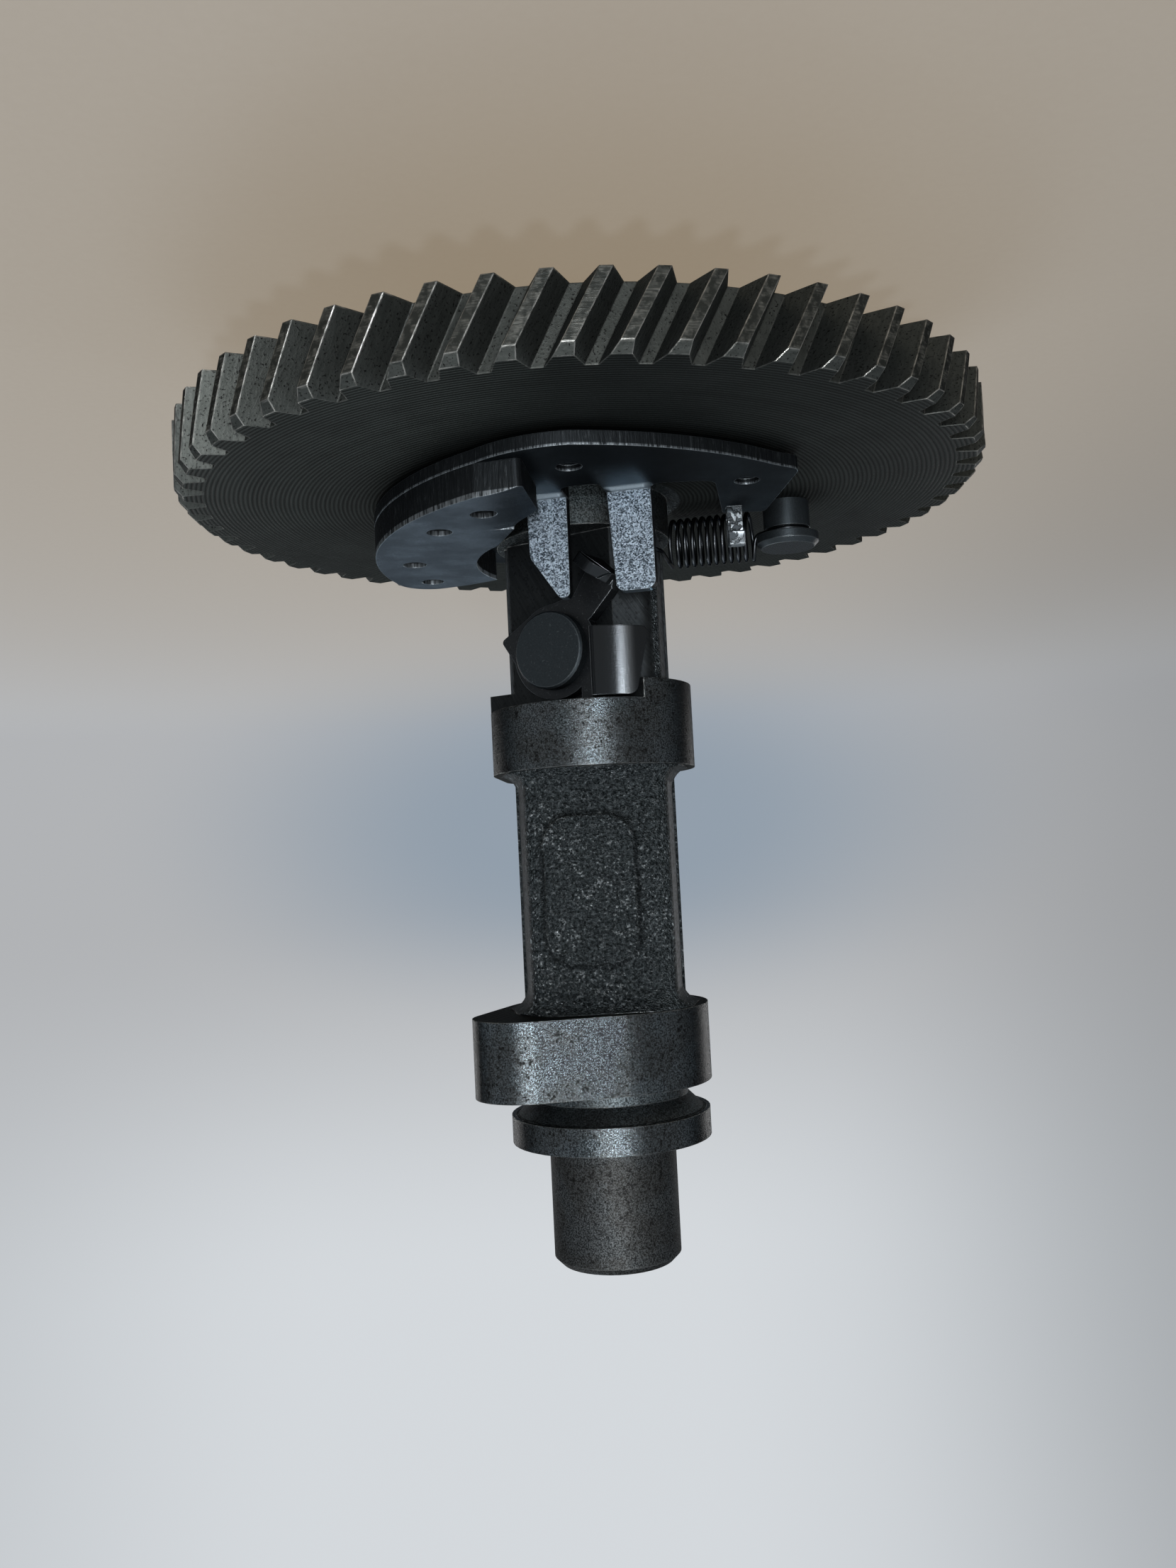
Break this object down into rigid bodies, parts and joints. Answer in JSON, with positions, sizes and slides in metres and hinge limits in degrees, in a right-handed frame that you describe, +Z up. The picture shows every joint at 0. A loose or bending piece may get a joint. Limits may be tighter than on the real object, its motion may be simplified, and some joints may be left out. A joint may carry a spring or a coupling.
{
  "type": "camshaft",
  "caption": "Small-engine camshaft cast with a helical timing gear, carrying a sprung flyweight and a release lever that eases starting.",
  "frame": {"origin": "on the shaft axis at the end face of the gear-side journal, on which the shaft stands", "axes": "+Z up along the shaft from the gear-side journal to the plain end journal; the flyweight's fingers and the release lever face -Y; +X is on the counterweight's side"},
  "size_m": [0.1018, 0.1018, 0.1204],
  "materials": {
    "cast_iron": "dark sand-cast iron with ground lobes, journals and tooth tips",
    "stamped_steel": "blue-grey phosphated stamped steel, satin",
    "black_steel": "black oxide on hardened steel, satin",
    "pin_steel": "dark hardened steel, matt",
    "spring_steel": "drawn spring wire, semi-bright"
  },
  "bodies": {
    "shaft": {"camshaft_body": "cast_iron", "flyweight_pivot_pin": "pin_steel", "spring_post": "pin_steel", "lever_pin": "pin_steel", "return_spring": "spring_steel"},
    "flyweight": {"flyweight_plate": "stamped_steel", "counterweight": "stamped_steel"},
    "lever": {"release_lever": "black_steel"}
  },
  "joints": [
    {"name": "flyweight_swing", "type": "hinge", "parent": "shaft", "child": "flyweight", "pos_m": [0.001, 0.017, 0.0256], "axis": [0, 0, 1], "range_deg": [0, 6.3], "stiffness_Nm_per_rad": 0.4, "springref_deg": -4.58, "deforming": ["return_spring"]},
    {"name": "lever_turn", "type": "hinge", "parent": "shaft", "child": "lever", "pos_m": [0, 0, 0.0441], "axis": [0.5, -0.866, 0], "range_deg": [0, 18.9]}
  ],
  "couplings": [
    {"joint": "lever_turn", "follows": "flyweight_swing", "ratio": 3}
  ]
}
